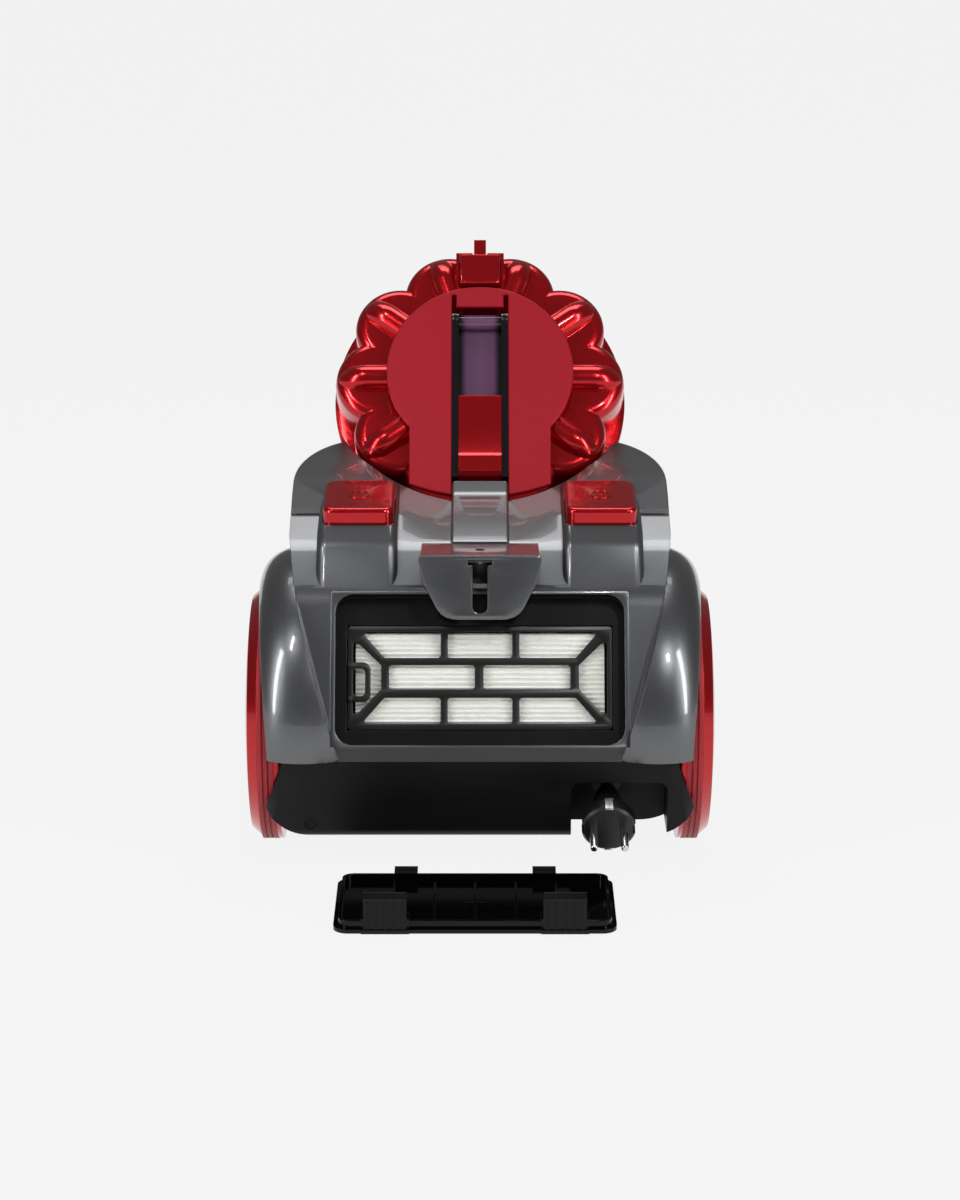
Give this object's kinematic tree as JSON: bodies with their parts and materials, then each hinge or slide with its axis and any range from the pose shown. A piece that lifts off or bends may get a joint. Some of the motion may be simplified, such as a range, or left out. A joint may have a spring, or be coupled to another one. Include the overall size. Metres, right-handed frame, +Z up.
{
  "type": "canister vacuum cleaner",
  "caption": "Bagless multi-cyclone canister vacuum cleaner on large rear wheels, its exhaust filter exposed and the filter's cover laid on the floor behind.",
  "frame": {"origin": "on the floor under the middle of the whole object's box, with the removed cover", "axes": "+Y to the hose end, +X to the right seen from behind, +Z up"},
  "size_m": [0.3, 0.527, 0.3574],
  "materials": {
    "graphite_paint": "metallic lacquer, gloss",
    "black_abs": "fine texture",
    "black_gloss": "polished",
    "red_metallic": "metallic red, gloss",
    "red_plate": "satin metallic red",
    "smoky_clear": "smoky transparent",
    "rubber_black": "matt",
    "red_rubber": "matt",
    "foam": "open cell",
    "filter_paper": "pleated",
    "spring_steel": "drawn",
    "plated_brass": "nickel plated",
    "motor_steel": "zinc plated",
    "cone_plastic": "moulded"
  },
  "bodies": {
    "housing": {"lower_chassis": "black_abs", "upper_housing": "graphite_paint", "filter_bay": "black_abs", "spine_strip": "graphite_paint", "parking_bracket": "graphite_paint", "casing_screws": "spring_steel", "stub_axles": "spring_steel", "hose_socket": "black_abs", "inlet_duct": "black_abs", "inlet_seal": "rubber_black", "outlet_seal": "rubber_black", "foam_cup": "black_abs", "motor_foam": "foam", "motor_gasket": "rubber_black", "fan_housing": "black_abs", "motor_can": "motor_steel", "shaft_bearings": "motor_steel", "rear_mount": "rubber_black", "motor_stand": "black_abs", "reel_bracket": "black_abs", "cord_bush": "black_abs", "power_switch": "black_abs", "power_pedal_spring": "spring_steel", "rewind_pedal_spring": "spring_steel"},
    "wheel_l": {"wheel_left": "red_metallic", "tyre_left": "red_rubber"},
    "wheel_r": {"wheel_right": "red_metallic", "tyre_right": "red_rubber"},
    "caster": {"caster_fork": "black_abs", "caster_axle": "spring_steel"},
    "caster_roller": {"caster_wheel": "black_abs"},
    "power_button": {"power_pedal": "red_metallic"},
    "rewind_button": {"rewind_pedal": "red_metallic"},
    "bin": {"cyclone_crown": "red_metallic", "top_plate": "red_plate", "handle_pin": "spring_steel", "dust_container": "smoky_clear", "container_seal": "rubber_black", "cyclone_cones": "cone_plastic", "shroud": "cone_plastic", "flap_pin": "black_abs", "button_spring": "spring_steel"},
    "handle": {"carry_handle": "smoky_clear", "handle_grip": "red_metallic"},
    "release": {"release_button": "red_metallic"},
    "flap": {"base_flap": "smoky_clear", "flap_seal": "rubber_black"},
    "filter": {"filter_frame": "black_abs", "filter_medium": "filter_paper"},
    "cover": {"filter_cover": "black_gloss"},
    "plug": {"plug_body": "black_abs", "plug_pins": "plated_brass", "earth_clips": "plated_brass", "cord_lead": "rubber_black"},
    "reel": {"reel_drum": "black_abs", "cord_winding": "rubber_black"},
    "fan": {"impeller": "motor_steel"}
  },
  "joints": [
    {"name": "wheel_left_spin", "type": "hinge", "parent": "housing", "child": "wheel_l", "pos_m": [-0.138, -0.0765, 0.082], "axis": [1, 0, 0], "continuous": true},
    {"name": "wheel_right_spin", "type": "hinge", "parent": "housing", "child": "wheel_r", "pos_m": [0.138, -0.0765, 0.082], "axis": [1, 0, 0], "continuous": true},
    {"name": "caster_swivel", "type": "hinge", "parent": "housing", "child": "caster", "pos_m": [0, 0.2105, 0.039], "axis": [0, 0, 1], "continuous": true},
    {"name": "caster_roll", "type": "hinge", "parent": "caster", "child": "caster_roller", "pos_m": [0, 0.1985, 0.017], "axis": [1, 0, 0], "continuous": true},
    {"name": "power_press", "type": "slide", "parent": "housing", "child": "power_button", "axis": [0, 0.1478, -0.989], "range_m": [0, 0.005], "stiffness_N_per_m": 600, "deforming": ["power_pedal_spring"]},
    {"name": "rewind_press", "type": "slide", "parent": "housing", "child": "rewind_button", "axis": [0, 0.1478, -0.989], "range_m": [0, 0.005], "stiffness_N_per_m": 600, "deforming": ["rewind_pedal_spring"]},
    {"name": "bin_lift", "type": "slide", "parent": "housing", "child": "bin", "axis": [0, 0.6157, 0.788], "range_m": [0, 0.15]},
    {"name": "handle_swing", "type": "hinge", "parent": "bin", "child": "handle", "pos_m": [0, 0.06882, 0.30751], "axis": [-1, 0, 0], "range_deg": [0, 75]},
    {"name": "release_press", "type": "slide", "parent": "bin", "child": "release", "axis": [0, 0.788, -0.6157], "range_m": [0, 0.004], "stiffness_N_per_m": 500, "deforming": ["button_spring"]},
    {"name": "flap_swing", "type": "hinge", "parent": "bin", "child": "flap", "pos_m": [0, 0.11874, 0.09528], "axis": [-1, 0, 0], "range_deg": [0, 36]},
    {"name": "filter_pull", "type": "slide", "parent": "housing", "child": "filter", "axis": [0, -0.8988, 0.4384], "range_m": [0, 0.06]},
    {"name": "cover_slide", "type": "slide", "parent": "housing", "child": "cover", "axis": [0, -1, 0], "range_m": [0, 0.1]},
    {"name": "plug_pull", "type": "slide", "parent": "housing", "child": "plug", "axis": [0, -1, 0], "range_m": [0, 0.035]},
    {"name": "reel_turn", "type": "hinge", "parent": "housing", "child": "reel", "pos_m": [0.08, -0.0315, 0.1068], "axis": [1, 0, 0], "range_deg": [-37.09, 0]},
    {"name": "fan_spin", "type": "hinge", "parent": "housing", "child": "fan", "pos_m": [0, -0.0146, 0.14552], "axis": [0, 0.6157, 0.788], "continuous": true}
  ],
  "couplings": [
    {"joint": "reel_turn", "follows": "plug_pull", "rad_per_m": -18.248}
  ]
}
